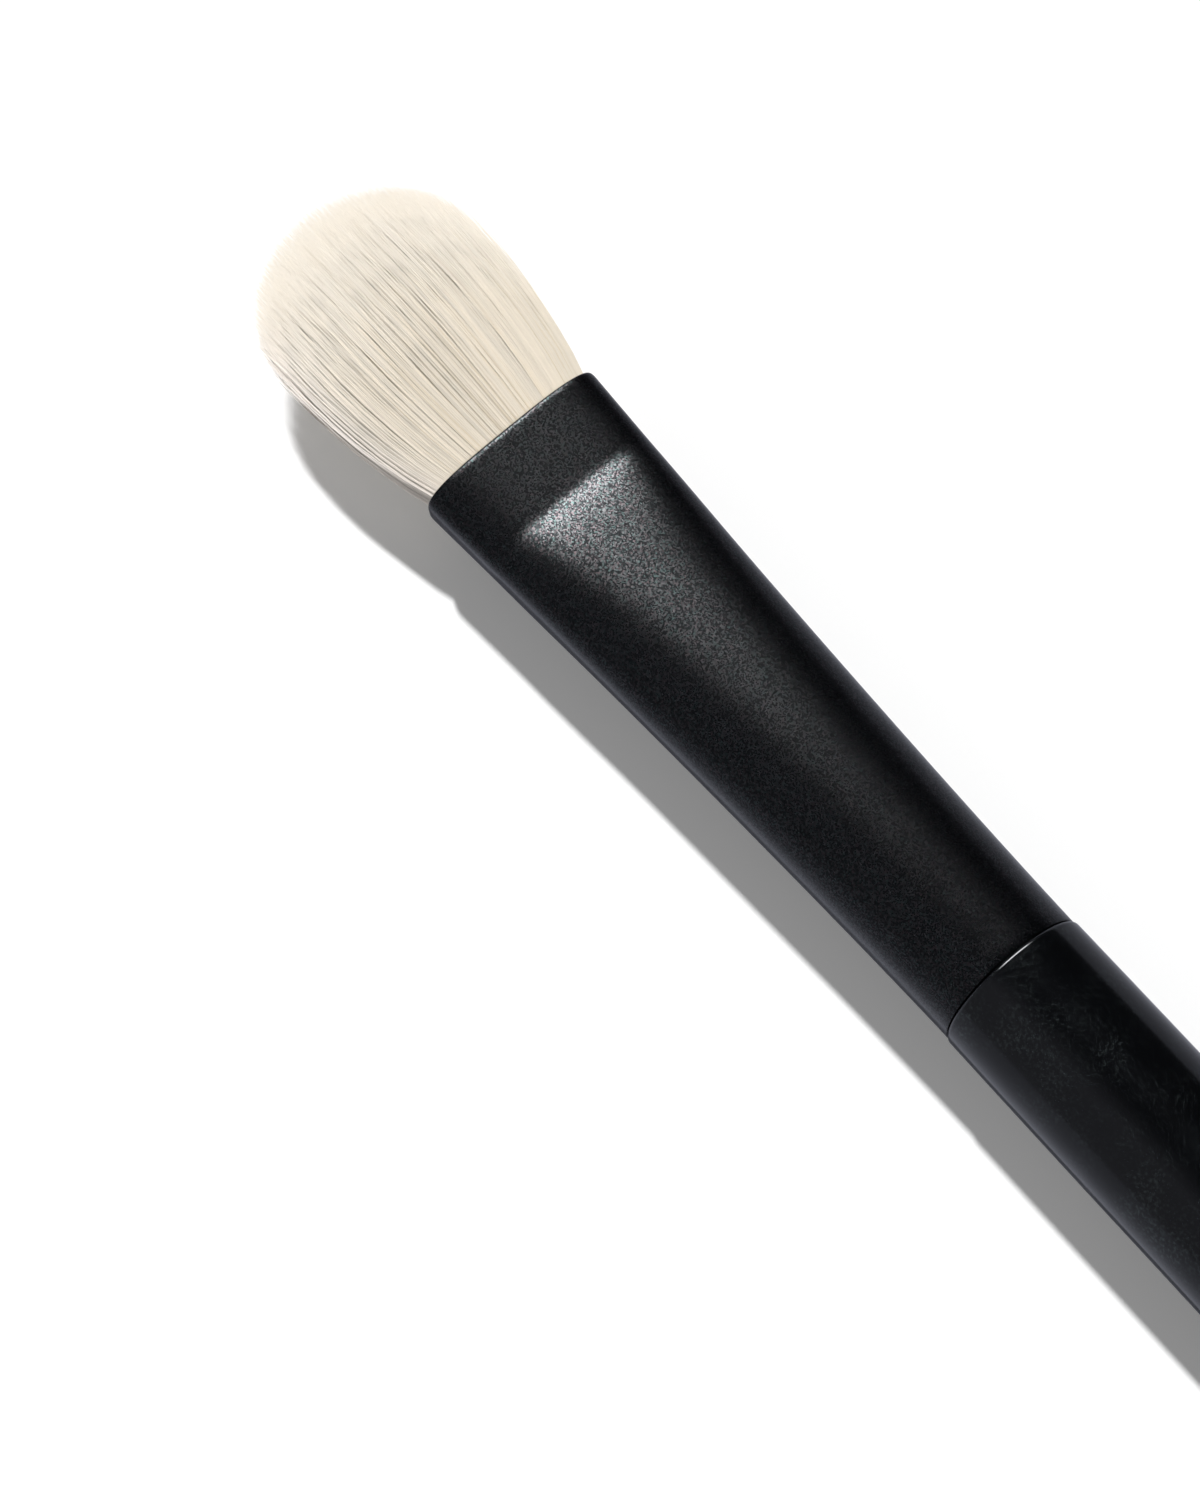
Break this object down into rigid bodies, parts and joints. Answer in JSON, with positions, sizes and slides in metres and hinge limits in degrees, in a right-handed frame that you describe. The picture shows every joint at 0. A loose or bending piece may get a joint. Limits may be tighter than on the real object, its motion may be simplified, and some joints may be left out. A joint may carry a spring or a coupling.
{
  "type": "eyeshadow brush",
  "caption": "Flat eyeshadow brush: a rounded goat hair tuft in a pressed black ferrule on a slim tapered lacquered handle.",
  "frame": {"origin": "on the brush's axis, in the middle of the handle's straight grip land, 15 mm behind the ferrule's seam", "axes": "+X along the axis from the tail to the tip of the hair, +Y across the flat of the head, +Z square to the flat"},
  "size_m": [0.1439, 0.0132, 0.0088],
  "materials": {
    "handle_lacquer": "gloss black lacquer over turned wood",
    "ferrule_finish": "satin black with a fine metallic speckle",
    "goat_hair": "soft undyed cream goat hair",
    "binding_thread": "plain spun thread",
    "set_resin": "clear amber, set glossy",
    "wood_glue": "dull dried glue"
  },
  "bodies": {
    "root": {"handle": "handle_lacquer", "ferrule": "ferrule_finish", "hair_tuft": "goat_hair", "root_thread": "binding_thread", "root_resin": "set_resin", "tenon_glue": "wood_glue"}
  },
  "joints": []
}
